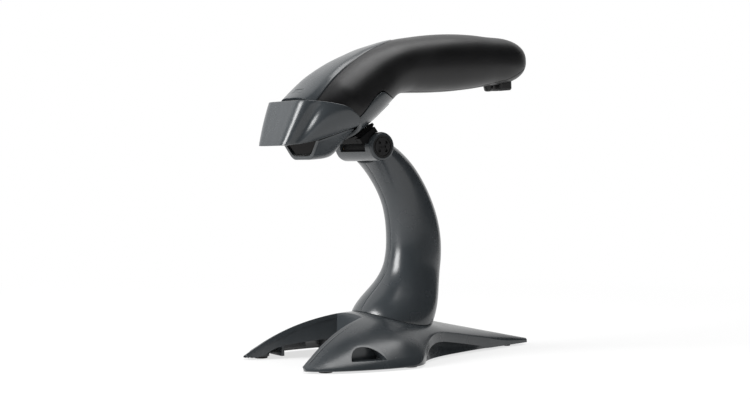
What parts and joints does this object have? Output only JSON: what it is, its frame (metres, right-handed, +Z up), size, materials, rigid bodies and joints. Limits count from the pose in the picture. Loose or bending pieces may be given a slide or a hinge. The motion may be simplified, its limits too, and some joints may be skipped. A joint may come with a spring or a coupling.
{
  "type": "handheld barcode scanner",
  "caption": "Handheld barcode scanner resting nose-down in the tilting cup of a weighted table stand; it lifts out of the cup and has a sprung trigger under its neck.",
  "frame": {"origin": "on the table under the middle of the whole object, scanner on its stand", "axes": "+X across the scanner to its left side, +Y from the scan window towards the tail, +Z up"},
  "size_m": [0.103, 0.1832, 0.1898],
  "materials": {
    "slate_plastic": "dark blue-grey ABS, semi-gloss with a fine grain",
    "black_plastic": "black ABS, satin with a fine spark-eroded grain",
    "rubber": "matt black rubber",
    "steel": "zinc-plated steel",
    "bronze": "plain bronze",
    "window_glass": "smoked scan window",
    "inner_plastic": "black moulded component",
    "circuit_board": "green solder mask",
    "light_plastic": "clear-tinted light pipe"
  },
  "bodies": {
    "stand": {"base_shell": "slate_plastic", "base_weight": "steel", "weight_screws": "steel", "base_feet": "rubber", "neck_left": "slate_plastic", "neck_right": "slate_plastic", "neck_screws": "steel", "neck_bolts": "steel", "hinge_yoke": "slate_plastic", "hinge_bolt": "steel", "hinge_nut": "steel", "hinge_washers": "bronze", "hinge_caps": "black_plastic"},
    "cup": {"cup": "black_plastic", "cup_magnet": "steel", "cup_pads": "rubber"},
    "scanner": {"handle_shell": "black_plastic", "handle_cover": "black_plastic", "lower_housing": "slate_plastic", "nose_bezel": "slate_plastic", "top_insert": "slate_plastic", "indicator_lens": "light_plastic", "window_frame": "slate_plastic", "scan_window": "window_glass", "window_gasket": "rubber", "scan_engine": "inner_plastic", "engine_lens": "window_glass", "engine_bracket": "steel", "main_board": "circuit_board", "board_screws": "steel", "indicator_led": "light_plastic", "beeper": "inner_plastic", "decoder_chip": "inner_plastic", "trigger_switch": "inner_plastic", "stand_sensor": "inner_plastic", "cable_socket": "black_plastic", "housing_screws": "steel", "trigger_cradle": "inner_plastic", "trigger_pin": "steel", "trigger_spring": "steel"},
    "trigger": {"trigger": "slate_plastic"}
  },
  "joints": [
    {"name": "cup_tilt", "type": "hinge", "parent": "stand", "child": "cup", "pos_m": [0, -0.02914, 0.12196], "axis": [1, 0, 0], "range_deg": [-30, 30]},
    {"name": "scanner_lift", "type": "slide", "parent": "cup", "child": "scanner", "axis": [0, -0.5668, 0.8238], "range_m": [0, 0.08]},
    {"name": "trigger_press", "type": "hinge", "parent": "scanner", "child": "trigger", "pos_m": [0, -0.02153, 0.15034], "axis": [-1, 0, 0], "range_deg": [0, 4], "stiffness_Nm_per_rad": 0.2, "springref_deg": -2.86, "deforming": ["trigger_spring"]}
  ]
}
